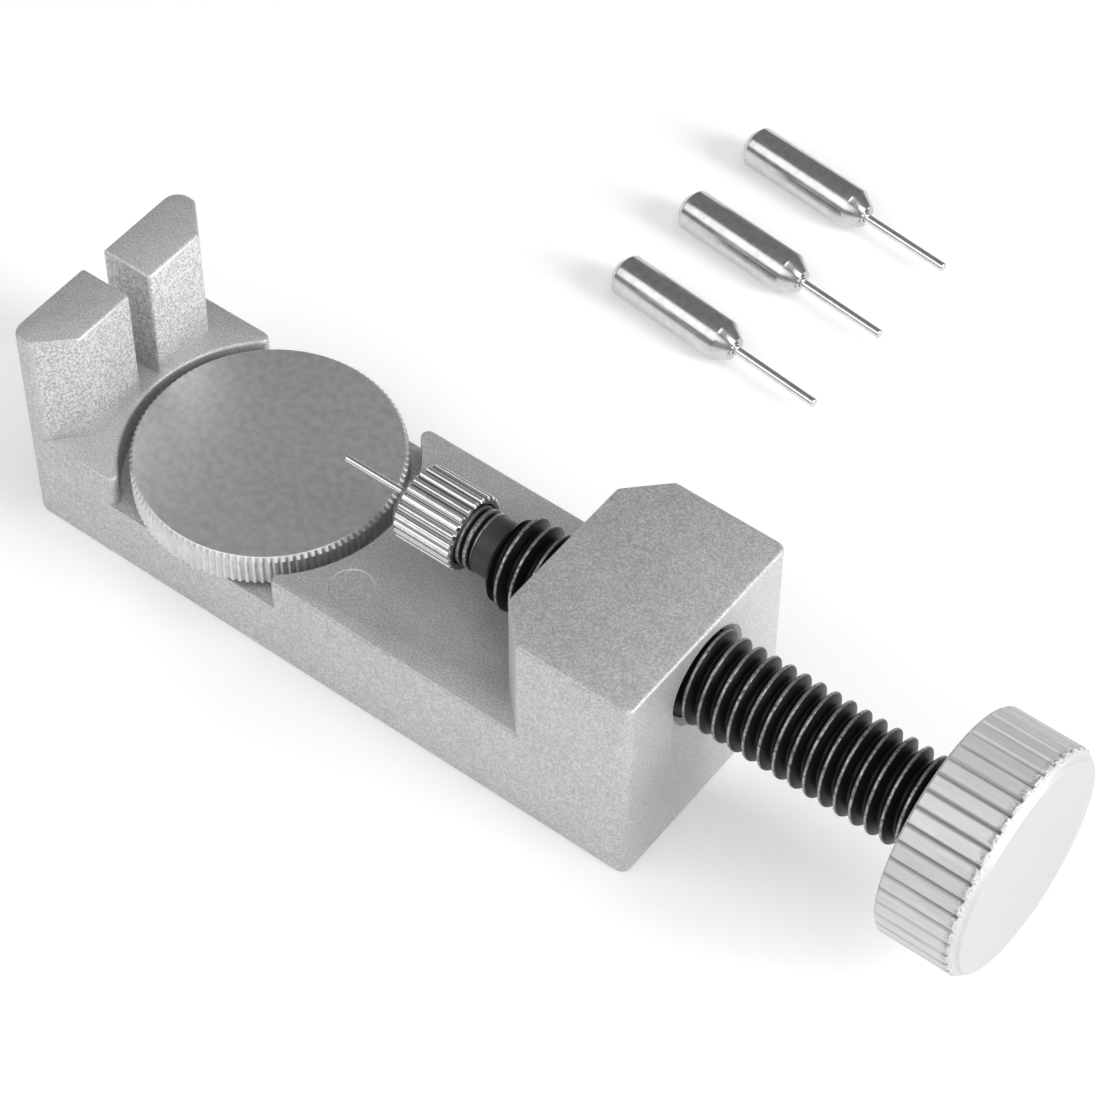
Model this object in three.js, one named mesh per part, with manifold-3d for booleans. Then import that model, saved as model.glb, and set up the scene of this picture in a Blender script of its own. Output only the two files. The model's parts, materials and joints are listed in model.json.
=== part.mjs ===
// A bench press that drives the link pins out of a metal watch bracelet.
//
// The bracelet lies on the height disc with its edge against the slotted fork. Turning the knob feeds the
// screw through the tower, and the needle held in the chuck nut pushes the link pin out through the slot.
// The disc turns on a threaded stem to bring the link pin level with the needle.
//
// Millimetres. The origin is the centre of the casting's underside, +X runs along the feed screw towards
// the knob and +Z is up. Everything on the feed screw is modelled along its own +Z, which a group turns
// to +X.
import * as THREE from "three";
import { mergeVertices } from "three/addons/utils/BufferGeometryUtils.js";
import Module from "manifold-3d";

const wasm = await Module();
wasm.setup();

// ---------------------------------------------------------------- driving dimensions

// Casting
const BED_LENGTH = 76;
const BED_WIDTH = 25;
const BED_HEIGHT = 12;
const TOWER_THICKNESS = 17;
const TOWER_CHAMFER = 4;
const TOWER_CORNER_RADIUS = 1;
const TOWER_TOP_WALL = 2; // metal left above the screw bore
const FORK_THICKNESS = 6.2;
const FORK_RISE = 14.4; // above the bed
const FORK_CHAMFER = 3.5;
const FORK_CORNER_RADIUS = 1.8;
const FORK_SLOT = 2.9;
const EDGE_BREAK = 0.4;
const EJECTOR_MARK_RADIUS = 2.35;
const EJECTOR_MARK_DEPTH = 0.15;
const EJECTOR_MARK_FROM_TOWER = 19.7;
const EJECTOR_MARK_FROM_EDGE = 4.4;

// Height disc, its stem and the ring that stops the stem from unscrewing
const DISC_DIAMETER = 28.2;
const DISC_THICKNESS = 4;
const DISC_PROUD = 0.6; // above the bed, as it stands
const DISC_LIFT = 1.2; // further travel upwards
const POCKET_TO_FORK = 0.5; // pocket's edge to the fork's inner face
const DISC_SIDE_GAP = 1.2; // to the pocket's wall
const DISC_FLOOR_GAP = 0.5; // to the pocket's floor
const DISC_KNURLS = 96;
const DISC_KNURL_DEPTH = 0.3;
const DISC_GROOVE_SHARE = 1; // of the knurl's pitch
const STEM_DIAMETER = 6;
const STEM_PITCH = 1;
const STEM_CREST = 0.2; // width of the thread's flat crest
const STEM_SOCKET_DEPTH = 2.4; // how far the stem's head goes up into the disc
const STEM_GROOVE_RADIUS = 2.1;
const STEM_FOOT_GAP = 0.5; // stem's lower end to the bench
const STEM_COLLAR = 0.4; // length of the collar under the ring
const RING_THICKNESS = 0.8;
const RING_WIDTH = 2;
const RING_OPENING = 2.4;
const RING_PLAY = 0.2;
const RECESS_SIDE_GAP = 1; // round the ring, in the casting's underside

// Feed screw
const SCREW_DIAMETER = 9.8;
const SCREW_PITCH = 1.7;
const SCREW_CREST = 0.25;
const NUT_TO_TOWER = 10.65; // chuck nut's rear face to the tower's inner face
const NECK_BEHIND_NUT = 4.25; // chuck nut's rear face to the first full thread
const NOSE_PITCH = 0.9;
const NOSE_CREST = 0.4;
const NOSE_THREAD_BEHIND_NUT = 2.2;
const NECK_RELIEF = 0.1; // the plain neck's step below the nose thread
const NECK_WALL = 0.6; // between the pin socket and the top of the nose thread
const KNOB_TO_TOWER = 26.7; // knob's inner face to the tower's outer face
const TAIL_DIAMETER = 6;
const TAIL_LENGTH = 5.5;
const BORE_COUNTERSINK = 0.6;

// Knob
const KNOB_DIAMETER = 23.8;
const KNOB_THICKNESS = 8.8;
const KNOB_KNURLS = 42;
const KNOB_KNURL_DEPTH = 0.45;
const KNOB_GROOVE_SHARE = 0.36;
const KNOB_OUTER_CHAMFER = 1.2;
const KNOB_INNER_CHAMFER = 0.3;

// Chuck nut
const NUT_LENGTH = 7.7;
const NUT_WALL = 0.5;
const NUT_FRONT_WALL = 1.1;
const NUT_FLUTES = 24;
const NUT_FLUTE_DEPTH = 0.25;
const NUT_GROOVE_SHARE = 0.5;
const NUT_NOSE_CHAMFER = 0.9;

// Pin units: a steel plug with a needle set in its nose
const PLUG_DIAMETER = 4.8;
const PLUG_LENGTH = 16.8;
const PLUG_NOSE_LENGTH = 1.7;
const PLUG_NOSE_DIAMETER = 2.4;
const PLUG_REAR_CHAMFER = 0.9;
const NEEDLE_DIAMETER = 0.7;
const NEEDLE_REACH = 8.25; // beyond the chuck nut's front face
const NEEDLE_SEAT = 3; // how deep a needle stands in its plug
const SPARE_NEEDLE_DIAMETER = 1;
const SPARE_NEEDLE_REACH = 11; // beyond the plug's nose
const SPARE_COUNT = 3;
const SPARE_SPACING = 12.3;
const SPARE_BEHIND_BED = 33.7; // bed's rear face to the first spare's needle point
const SPARE_POINT_FROM_TOWER = 1.8; // needle points to the tower's inner face
const SPARE_TURN = THREE.MathUtils.degToRad(-6);

// Clearances
const FIT_GAP = 0.3; // between pieces that touch or are fastened together
const SOCKET_GAP = 0.2; // round a plug in its socket
const RUNNING_GAP = 0.3; // between the feed screw and the raised disc
const FLANK_GAP = 0.2; // along the axis, between mating thread flanks
const CREST_GAP = 0.4; // outside a screw's crest
const ROOT_GAP = 0.45; // outside a screw's root

// Facets
const THREAD_STEPS = 12; // to a turn
const ROUND_STEPS = 48;
const SMALL_ROUND_STEPS = 24;
const CORNER_STEPS = 4;
const CUT_MARGIN = 1; // how far a cutting shape runs past what it cuts
const WELD = 1e-4;

// ---------------------------------------------------------------- threads

const FLANK_SLOPE = Math.tan(THREE.MathUtils.degToRad(30));
const RIDGE_FOOT_SHARE = 0.85; // of the pitch, taken up by a ridge at the thread's root

// A right-hand 60 degree thread.
function threadForm(majorRadius, pitch, crestWidth) {
  const depth = (RIDGE_FOOT_SHARE * pitch - crestWidth) / (2 * FLANK_SLOPE);
  return { majorRadius, pitch, crestWidth, rootRadius: majorRadius - depth };
}

const FEED_THREAD = threadForm(SCREW_DIAMETER / 2, SCREW_PITCH, SCREW_CREST);
const STEM_THREAD = threadForm(STEM_DIAMETER / 2, STEM_PITCH, STEM_CREST);
const NOSE_THREAD = threadForm(PLUG_DIAMETER / 2 + SOCKET_GAP + NECK_WALL, NOSE_PITCH, NOSE_CREST);

// ---------------------------------------------------------------- places that several pieces share

const bedEnd = BED_LENGTH / 2;
const bedSide = BED_WIDTH / 2;
const towerInner = bedEnd - TOWER_THICKNESS;
const forkInner = -bedEnd + FORK_THICKNESS;

const pocketRadius = DISC_DIAMETER / 2 + DISC_SIDE_GAP;
const discCentre = forkInner + POCKET_TO_FORK + pocketRadius;
const discTop = BED_HEIGHT + DISC_PROUD;
const discBottom = discTop - DISC_THICKNESS;
const pocketFloor = discBottom - DISC_FLOOR_GAP;
const ringBottom = STEM_FOOT_GAP + STEM_COLLAR + RING_PLAY;
const ringTop = ringBottom + RING_THICKNESS;
const ringBore = STEM_GROOVE_RADIUS + FIT_GAP;
const recessRadius = ringBore + RING_WIDTH + RECESS_SIDE_GAP;
const recessTop = ringTop + DISC_LIFT + FIT_GAP;

const nutRadius = NOSE_THREAD.majorRadius + CREST_GAP + NUT_WALL;
const screwClearanceRadius = Math.max(SCREW_DIAMETER / 2, nutRadius);
const screwHeight = discTop + DISC_LIFT + RUNNING_GAP + screwClearanceRadius;
const towerHeight = screwHeight + SCREW_DIAMETER / 2 + TOWER_TOP_WALL;
const nutRear = towerInner - NUT_TO_TOWER;
const nutFront = nutRear - NUT_LENGTH;
const plugFront = nutFront + NUT_FRONT_WALL + FIT_GAP;
const screwFront = plugFront + PLUG_NOSE_LENGTH;
const socketEnd = plugFront + PLUG_LENGTH + FIT_GAP;
const threadStart = nutRear + NECK_BEHIND_NUT;
const knobInner = bedEnd + KNOB_TO_TOWER;
const screwShoulder = knobInner - FIT_GAP;

// ---------------------------------------------------------------- solids and shapes

// A closed three.js geometry as a solid that can be joined and cut.
function solidOf(geometry) {
  const bare = geometry.index ? geometry.toNonIndexed() : geometry.clone();
  bare.deleteAttribute("normal");
  bare.deleteAttribute("uv");
  const merged = mergeVertices(bare, WELD);
  return new wasm.Manifold(
    new wasm.Mesh({
      numProp: 3,
      vertProperties: merged.attributes.position.array,
      triVerts: new Uint32Array(merged.index.array),
    }),
  );
}

function geometryOf(solid) {
  const mesh = solid.getMesh();
  const geometry = new THREE.BufferGeometry();
  geometry.setAttribute("position", new THREE.BufferAttribute(mesh.vertProperties, 3));
  geometry.setIndex(new THREE.BufferAttribute(mesh.triVerts, 1));
  geometry.computeVertexNormals();
  return geometry;
}

// A body turned round +Z. The profile is a list of [radius, z] that starts and ends on the axis.
function turned(profile, steps) {
  const points = profile.map(([radius, z]) => new THREE.Vector2(radius, z));
  return new THREE.LatheGeometry(points, steps).rotateX(Math.PI / 2);
}

function rod(radius, from, to, steps) {
  return turned(
    [
      [0, from],
      [radius, from],
      [radius, to],
      [0, to],
    ],
    steps,
  );
}

// A plan outline raised from one height to another, with its top and bottom edges broken.
function block(outline, from, to, edgeBreak) {
  const geometry = new THREE.ExtrudeGeometry(outline, {
    depth: to - from - 2 * edgeBreak,
    bevelEnabled: edgeBreak > 0,
    bevelSegments: 1,
    bevelSize: edgeBreak,
    bevelOffset: -edgeBreak,
    bevelThickness: edgeBreak,
    curveSegments: CORNER_STEPS,
  });
  return geometry.translate(0, 0, from + edgeBreak);
}

// A round outline with straight grooves, each a V that takes up a share of its pitch.
function knurledOutline(radius, count, depth, grooveShare) {
  const outline = new THREE.Shape();
  const pitch = (2 * Math.PI) / count;
  const at = (angle, r) => [r * Math.cos(angle), r * Math.sin(angle)];
  for (let i = 0; i < count; i++) {
    const groove = i * pitch;
    const corner = at(groove - (grooveShare / 2) * pitch, radius);
    if (i === 0) outline.moveTo(...corner);
    else outline.lineTo(...corner);
    outline.lineTo(...at(groove, radius - depth));
    if (grooveShare < 1) outline.lineTo(...at(groove + (grooveShare / 2) * pitch, radius));
  }
  outline.closePath();
  return outline;
}

// A round bar along +Z with a thread on it, a little longer than asked for at both ends. Its surface is a
// grid of THREAD_STEPS columns and four rows to a turn, and each column's rows stand a step higher than the
// last one's. The growths enlarge it into the shape of a tap.
function threadedBar(form, from, to, { crestGrowth = 0, rootGrowth = 0, flankGrowth = 0 } = {}) {
  const crest = form.majorRadius + crestGrowth;
  const root = form.rootRadius + rootGrowth;
  const halfWidth = (radius) =>
    form.crestWidth / 2 + (form.majorRadius - radius) * FLANK_SLOPE + flankGrowth;
  const profile = [
    [root, -halfWidth(root)],
    [crest, -halfWidth(crest)],
    [crest, halfWidth(crest)],
    [root, halfWidth(root)],
  ];
  const rows = profile.length;
  const firstTurn = Math.floor(from / form.pitch) - 1;
  const turns = Math.ceil(to / form.pitch) + 1 - firstTurn;
  const lastRow = turns * rows;

  const positions = [];
  const columnStart = [];
  for (let column = 0; column < THREAD_STEPS; column++) {
    columnStart.push(positions.length / 3);
    const angle = (column / THREAD_STEPS) * 2 * Math.PI;
    // The first column also holds the turn that the last column climbs to.
    const top = column === 0 ? lastRow + rows : lastRow;
    for (let row = 0; row <= top; row++) {
      const [radius, along] = profile[row % rows];
      const turn = firstTurn + Math.floor(row / rows) + column / THREAD_STEPS;
      positions.push(radius * Math.cos(angle), radius * Math.sin(angle), turn * form.pitch + along);
    }
  }
  const bottomCentre = positions.length / 3;
  positions.push(0, 0, (firstTurn - 1) * form.pitch);
  const topCentre = bottomCentre + 1;
  positions.push(0, 0, (firstTurn + turns + 2) * form.pitch);

  const vertex = (column, row) => (column === THREAD_STEPS ? row + rows : columnStart[column] + row);
  const index = [];
  for (let column = 0; column < THREAD_STEPS; column++) {
    for (let row = 0; row < lastRow; row++) {
      const a = vertex(column, row);
      const b = vertex(column + 1, row);
      const c = vertex(column + 1, row + 1);
      const d = vertex(column, row + 1);
      index.push(a, b, c, a, c, d);
    }
    index.push(vertex(column + 1, 0), vertex(column, 0), bottomCentre);
    index.push(vertex(column, lastRow), vertex(column + 1, lastRow), topCentre);
  }
  for (let row = 0; row < rows; row++) {
    index.push(vertex(0, row), vertex(0, row + 1), bottomCentre);
    index.push(vertex(0, lastRow + row + 1), vertex(0, lastRow + row), topCentre);
  }
  const geometry = new THREE.BufferGeometry();
  geometry.setAttribute("position", new THREE.Float32BufferAttribute(positions, 3));
  geometry.setIndex(index);
  return geometry;
}

// A threaded length of a screw, chamfered down to the thread's root at both ends.
function screwLength(form, from, to) {
  const outside = form.majorRadius + FIT_GAP;
  const chamfer = outside - form.rootRadius;
  const envelope = turned(
    [
      [0, from],
      [form.rootRadius, from],
      [outside, from + chamfer],
      [outside, to - chamfer],
      [form.rootRadius, to],
      [0, to],
    ],
    2 * THREAD_STEPS,
  );
  return solidOf(threadedBar(form, from, to)).intersect(solidOf(envelope));
}

// The shape of a tap for a screw's mating thread.
function tap(form, from, to) {
  return threadedBar(form, from, to, {
    crestGrowth: CREST_GAP,
    rootGrowth: ROOT_GAP,
    flankGrowth: FLANK_GAP,
  });
}

// ---------------------------------------------------------------- casting

const onScrewAxis = (geometry) => geometry.rotateY(Math.PI / 2).translate(0, 0, screwHeight);
const onDiscAxis = (geometry) => geometry.translate(discCentre, 0, 0);

// An outline on the casting's plan. Each corner is [x, y, radius], and a radius of 0 is a sharp corner.
function plan(corners) {
  const outline = new THREE.Shape();
  corners.forEach(([x, y, radius], i) => {
    const here = new THREE.Vector2(x, y);
    const [px, py] = corners[(i + corners.length - 1) % corners.length];
    const [nx, ny] = corners[(i + 1) % corners.length];
    const enter = here.clone().add(new THREE.Vector2(px - x, py - y).setLength(radius));
    const leave = here.clone().add(new THREE.Vector2(nx - x, ny - y).setLength(radius));
    if (i === 0) outline.moveTo(enter.x, enter.y);
    else outline.lineTo(enter.x, enter.y);
    if (radius > 0) outline.quadraticCurveTo(x, y, leave.x, leave.y);
  });
  outline.closePath();
  return outline;
}

function bedPlan() {
  return plan([
    [-bedEnd, -bedSide, FORK_CORNER_RADIUS],
    [bedEnd, -bedSide, TOWER_CORNER_RADIUS],
    [bedEnd, bedSide, TOWER_CORNER_RADIUS],
    [-bedEnd, bedSide, FORK_CORNER_RADIUS],
  ]);
}

function towerPlan() {
  return plan([
    [towerInner + TOWER_CHAMFER, -bedSide, 0],
    [bedEnd, -bedSide, TOWER_CORNER_RADIUS],
    [bedEnd, bedSide, TOWER_CORNER_RADIUS],
    [towerInner + TOWER_CHAMFER, bedSide, 0],
    [towerInner, bedSide - TOWER_CHAMFER, 0],
    [towerInner, -bedSide + TOWER_CHAMFER, 0],
  ]);
}

// One post of the fork, on the rear side (1) or the front side (-1) of the slot.
function postPlan(side) {
  return plan([
    [-bedEnd, (side * FORK_SLOT) / 2, 0],
    [forkInner, (side * FORK_SLOT) / 2, 0],
    [forkInner, side * (bedSide - FORK_CHAMFER), 0],
    [forkInner - FORK_CHAMFER, side * bedSide, 0],
    [-bedEnd, side * bedSide, FORK_CORNER_RADIUS],
  ]);
}

function castFrame() {
  const forkTop = BED_HEIGHT + FORK_RISE;
  let casting = solidOf(block(bedPlan(), 0, BED_HEIGHT, EDGE_BREAK))
    .add(solidOf(block(towerPlan(), 0, towerHeight, EDGE_BREAK)))
    .add(solidOf(block(postPlan(1), EDGE_BREAK, forkTop, EDGE_BREAK)))
    .add(solidOf(block(postPlan(-1), EDGE_BREAK, forkTop, EDGE_BREAK)));
  const cuts = [
    solidOf(onDiscAxis(rod(pocketRadius, pocketFloor, forkTop, ROUND_STEPS))),
    solidOf(onDiscAxis(rod(recessRadius, -CUT_MARGIN, recessTop, SMALL_ROUND_STEPS))),
    solidOf(onDiscAxis(tap(STEM_THREAD, recessTop, pocketFloor))),
    solidOf(onScrewAxis(tap(FEED_THREAD, towerInner, bedEnd))),
    solidOf(onScrewAxis(boreCountersinks())),
    solidOf(ejectorMark()),
  ];
  for (const cut of cuts) casting = casting.subtract(cut);
  return geometryOf(casting);
}

// The countersinks at the two mouths of the screw's bore, as one spool whose waist lies inside the bore.
function boreCountersinks() {
  const mouth = SCREW_DIAMETER / 2 + BORE_COUNTERSINK;
  const waist = FEED_THREAD.rootRadius;
  const taper = mouth - waist;
  return turned(
    [
      [0, towerInner - CUT_MARGIN],
      [mouth, towerInner - CUT_MARGIN],
      [mouth, towerInner],
      [waist, towerInner + taper],
      [waist, bedEnd - taper],
      [mouth, bedEnd],
      [mouth, bedEnd + CUT_MARGIN],
      [0, bedEnd + CUT_MARGIN],
    ],
    ROUND_STEPS,
  );
}

// The round mark that an ejector pin leaves on the bed.
function ejectorMark() {
  const bottom = BED_HEIGHT - EJECTOR_MARK_DEPTH;
  const mark = rod(EJECTOR_MARK_RADIUS, bottom, BED_HEIGHT + CUT_MARGIN, SMALL_ROUND_STEPS);
  return mark.translate(towerInner - EJECTOR_MARK_FROM_TOWER, -bedSide + EJECTOR_MARK_FROM_EDGE, 0);
}

// ---------------------------------------------------------------- height disc

// The disc has a plain top, a fine straight knurl round its rim and a blind socket for its stem.
function heightDisc() {
  const outline = knurledOutline(DISC_DIAMETER / 2, DISC_KNURLS, DISC_KNURL_DEPTH, DISC_GROOVE_SHARE);
  const socketRadius = STEM_THREAD.majorRadius + FIT_GAP;
  const socketTop = discBottom + STEM_SOCKET_DEPTH;
  const socket = rod(socketRadius, discBottom - CUT_MARGIN, socketTop, SMALL_ROUND_STEPS);
  return geometryOf(solidOf(block(outline, discBottom, discTop, 0)).subtract(solidOf(socket)));
}

// The stem's thread runs in the casting. Its grooved lower end carries the retaining ring.
function discStem() {
  const head = discBottom + STEM_SOCKET_DEPTH - FIT_GAP;
  const threadBottom = ringTop + RING_PLAY;
  const collarTop = STEM_FOOT_GAP + STEM_COLLAR;
  const core = turned(
    [
      [0, STEM_FOOT_GAP],
      [STEM_THREAD.majorRadius, STEM_FOOT_GAP],
      [STEM_THREAD.majorRadius, collarTop],
      [STEM_GROOVE_RADIUS, collarTop],
      [STEM_GROOVE_RADIUS, discBottom],
      [STEM_THREAD.majorRadius, discBottom],
      [STEM_THREAD.majorRadius, head],
      [0, head],
    ],
    SMALL_ROUND_STEPS,
  );
  return geometryOf(solidOf(core).add(screwLength(STEM_THREAD, threadBottom, discBottom + FIT_GAP)));
}

// An open ring that snaps into the stem's groove.
function stemRing() {
  const outer = ringBore + RING_WIDTH;
  const half = Math.asin(RING_OPENING / 2 / ringBore);
  const outerHalf = Math.asin(RING_OPENING / 2 / outer);
  const outline = new THREE.Shape();
  outline.absarc(0, 0, outer, outerHalf, 2 * Math.PI - outerHalf, false);
  outline.absarc(0, 0, ringBore, 2 * Math.PI - half, half, true);
  outline.closePath();
  const geometry = new THREE.ExtrudeGeometry(outline, {
    depth: RING_THICKNESS,
    bevelEnabled: false,
    curveSegments: ROUND_STEPS / 4,
  });
  return geometry.translate(0, 0, ringBottom);
}

// ---------------------------------------------------------------- feed screw, knob and chuck nut

// The screw's nose is bored for a pin unit and threaded for the chuck nut. Its tail stands in the knob.
function feedScrew() {
  const noseThreadEnd = nutRear + NOSE_THREAD_BEHIND_NUT;
  const neckRadius = NOSE_THREAD.majorRadius - NECK_RELIEF;
  const neck = rod(neckRadius, noseThreadEnd - FIT_GAP, threadStart + FIT_GAP, ROUND_STEPS);
  const tail = rod(TAIL_DIAMETER / 2, screwShoulder - FIT_GAP, knobInner + TAIL_LENGTH, SMALL_ROUND_STEPS);
  const socketRadius = PLUG_DIAMETER / 2 + SOCKET_GAP;
  const socket = rod(socketRadius, screwFront - CUT_MARGIN, socketEnd, SMALL_ROUND_STEPS);
  const screw = screwLength(FEED_THREAD, threadStart, screwShoulder)
    .add(screwLength(NOSE_THREAD, screwFront, noseThreadEnd))
    .add(solidOf(neck))
    .add(solidOf(tail))
    .subtract(solidOf(socket));
  return geometryOf(screw);
}

function knob() {
  const radius = KNOB_DIAMETER / 2;
  const outerFace = knobInner + KNOB_THICKNESS;
  const outline = knurledOutline(radius, KNOB_KNURLS, KNOB_KNURL_DEPTH, KNOB_GROOVE_SHARE);
  const envelope = turned(
    [
      [0, knobInner],
      [radius - KNOB_INNER_CHAMFER, knobInner],
      [radius + FIT_GAP, knobInner + KNOB_INNER_CHAMFER + FIT_GAP],
      [radius + FIT_GAP, outerFace - KNOB_OUTER_CHAMFER - FIT_GAP],
      [radius - KNOB_OUTER_CHAMFER, outerFace],
      [0, outerFace],
    ],
    2 * KNOB_KNURLS,
  );
  const tailBore = rod(
    TAIL_DIAMETER / 2 + FIT_GAP,
    knobInner - CUT_MARGIN,
    knobInner + TAIL_LENGTH + FIT_GAP,
    SMALL_ROUND_STEPS,
  );
  const blank = solidOf(block(outline, knobInner - CUT_MARGIN, outerFace + CUT_MARGIN, 0));
  return geometryOf(blank.intersect(solidOf(envelope)).subtract(solidOf(tailBore)));
}

// The fluted nut screws over the nose and holds the plug back by its cone. The needle comes out of a hole
// in its front.
function chuckNut() {
  const outline = knurledOutline(nutRadius, NUT_FLUTES, NUT_FLUTE_DEPTH, NUT_GROOVE_SHARE);
  const envelope = turned(
    [
      [0, nutFront],
      [nutRadius - NUT_NOSE_CHAMFER, nutFront],
      [nutRadius + FIT_GAP, nutFront + NUT_NOSE_CHAMFER + FIT_GAP],
      [nutRadius + FIT_GAP, nutRear],
      [0, nutRear],
    ],
    2 * NUT_FLUTES,
  );
  const needleHole = Math.max(NEEDLE_DIAMETER, SPARE_NEEDLE_DIAMETER) / 2 + FIT_GAP;
  const coneFront = nutFront + NUT_FRONT_WALL;
  const coneRear = coneFront + PLUG_NOSE_LENGTH;
  const seat = turned(
    [
      [0, nutFront - CUT_MARGIN],
      [needleHole, nutFront - CUT_MARGIN],
      [needleHole, coneFront],
      [PLUG_NOSE_DIAMETER / 2 + FIT_GAP, coneFront],
      [PLUG_DIAMETER / 2 + FIT_GAP, coneRear],
      [0, coneRear],
    ],
    SMALL_ROUND_STEPS,
  );
  const threadLength = rod(nutRadius, coneRear - FIT_GAP, nutRear + CUT_MARGIN, SMALL_ROUND_STEPS);
  const thread = solidOf(tap(NOSE_THREAD, coneRear, nutRear)).intersect(solidOf(threadLength));
  const blank = solidOf(block(outline, nutFront - CUT_MARGIN, nutRear + CUT_MARGIN, 0));
  return geometryOf(blank.intersect(solidOf(envelope)).subtract(solidOf(seat)).subtract(thread));
}

// ---------------------------------------------------------------- pin units, with the nose at z = 0 facing -Z

function plug(needleDiameter) {
  const radius = PLUG_DIAMETER / 2;
  const seatRadius = needleDiameter / 2 + FIT_GAP;
  return turned(
    [
      [0, NEEDLE_SEAT + FIT_GAP],
      [seatRadius, NEEDLE_SEAT + FIT_GAP],
      [seatRadius, 0],
      [PLUG_NOSE_DIAMETER / 2, 0],
      [radius, PLUG_NOSE_LENGTH],
      [radius, PLUG_LENGTH - PLUG_REAR_CHAMFER],
      [radius - PLUG_REAR_CHAMFER, PLUG_LENGTH],
      [0, PLUG_LENGTH],
    ],
    SMALL_ROUND_STEPS,
  );
}

function needle(diameter, reach) {
  return rod(diameter / 2, -reach, NEEDLE_SEAT, THREAD_STEPS);
}

// ---------------------------------------------------------------- finishes

const finish = (color, roughness, metalness) => new THREE.MeshStandardMaterial({ color, roughness, metalness });
const CAST_GREY = finish(0xb2b3b6, 0.62, 0.75);
const SATIN_STEEL = finish(0x9fa0a3, 0.5, 0.85);
const BLACK_OXIDE = finish(0x16171a, 0.38, 0.6);
const BRIGHT_ALUMINIUM = finish(0xdcdcdd, 0.45, 0.8);
const CHROME = finish(0xd8dade, 0.18, 1);
const POLISHED_STEEL = finish(0xc4c6ca, 0.24, 1);
const SPRING_STEEL = finish(0x6f7276, 0.45, 0.9);

function piece(name, geometry, material) {
  const mesh = new THREE.Mesh(geometry, material);
  mesh.name = name;
  return mesh;
}

// ---------------------------------------------------------------- assembly

const press = new THREE.Group();
press.add(piece("cast_frame", castFrame(), CAST_GREY));

const discAssembly = new THREE.Group();
discAssembly.position.x = discCentre;
discAssembly.add(
  piece("height_disc", heightDisc(), SATIN_STEEL),
  piece("disc_stem", discStem(), POLISHED_STEEL),
  piece("stem_ring", stemRing(), SPRING_STEEL),
);
press.add(discAssembly);

const spindle = new THREE.Group();
spindle.position.z = screwHeight;
spindle.rotation.y = Math.PI / 2;
spindle.add(
  piece("feed_screw", feedScrew(), BLACK_OXIDE),
  piece("knob", knob(), BRIGHT_ALUMINIUM),
  piece("chuck_nut", chuckNut(), CHROME),
);
const mountedReach = NEEDLE_REACH + plugFront - nutFront;
const mountedPin = new THREE.Group();
mountedPin.position.z = plugFront;
mountedPin.add(
  piece("pin_plug", plug(NEEDLE_DIAMETER), POLISHED_STEEL),
  piece("pin_needle", needle(NEEDLE_DIAMETER, mountedReach), POLISHED_STEEL),
);
spindle.add(mountedPin);
press.add(spindle);

for (let i = 1; i <= SPARE_COUNT; i++) {
  // Each spare lies on the bench behind the casting with its needle pointing towards +X.
  const point = new THREE.Group();
  point.position.x = towerInner - SPARE_POINT_FROM_TOWER;
  point.position.y = bedSide + SPARE_BEHIND_BED + (i - 1) * SPARE_SPACING;
  point.position.z = PLUG_DIAMETER / 2;
  point.rotation.z = SPARE_TURN;
  const lying = new THREE.Group();
  lying.rotation.y = -Math.PI / 2;
  lying.position.x = -SPARE_NEEDLE_REACH;
  lying.add(
    piece("spare_pin_plug_" + i, plug(SPARE_NEEDLE_DIAMETER), POLISHED_STEEL),
    piece("spare_pin_needle_" + i, needle(SPARE_NEEDLE_DIAMETER, SPARE_NEEDLE_REACH), POLISHED_STEEL),
  );
  point.add(lying);
  press.add(point);
}

export default press;
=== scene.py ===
"""Finished surfaces of a bench press that drives the link pins out of a metal watch bracelet.

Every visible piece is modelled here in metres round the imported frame: the casting with its cast skin, the
height disc on its threaded stem, the black feed screw with its knob and chuck nut, and the pin units.
Turned pieces are shaped along their own +Z and then laid on the axis that they turn about.
"""

import json
import logging
import math
from contextlib import contextmanager
from dataclasses import dataclass, field
from enum import Enum
from typing import Callable, ClassVar, Iterator, Sequence

import bmesh
import bpy
from mathutils import Matrix, Vector

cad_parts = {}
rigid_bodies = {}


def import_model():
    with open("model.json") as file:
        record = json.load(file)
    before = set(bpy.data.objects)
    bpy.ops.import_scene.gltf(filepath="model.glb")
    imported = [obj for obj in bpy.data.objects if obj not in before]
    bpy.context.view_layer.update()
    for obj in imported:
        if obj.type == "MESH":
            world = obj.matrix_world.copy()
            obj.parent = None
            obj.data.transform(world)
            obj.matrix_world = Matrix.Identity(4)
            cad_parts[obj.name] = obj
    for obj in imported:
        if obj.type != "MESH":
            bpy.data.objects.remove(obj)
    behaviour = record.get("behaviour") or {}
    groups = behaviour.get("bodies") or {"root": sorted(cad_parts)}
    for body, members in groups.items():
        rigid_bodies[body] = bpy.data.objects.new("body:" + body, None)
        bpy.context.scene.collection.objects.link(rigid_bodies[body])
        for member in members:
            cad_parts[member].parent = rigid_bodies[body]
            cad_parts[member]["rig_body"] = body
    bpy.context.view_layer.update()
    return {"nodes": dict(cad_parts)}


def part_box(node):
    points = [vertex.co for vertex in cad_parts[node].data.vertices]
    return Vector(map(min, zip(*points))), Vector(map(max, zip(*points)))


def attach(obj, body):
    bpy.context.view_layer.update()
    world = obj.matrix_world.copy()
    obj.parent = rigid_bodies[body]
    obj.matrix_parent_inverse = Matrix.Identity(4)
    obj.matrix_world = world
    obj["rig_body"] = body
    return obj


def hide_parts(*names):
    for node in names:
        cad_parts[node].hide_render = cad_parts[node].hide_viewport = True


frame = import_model()

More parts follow.
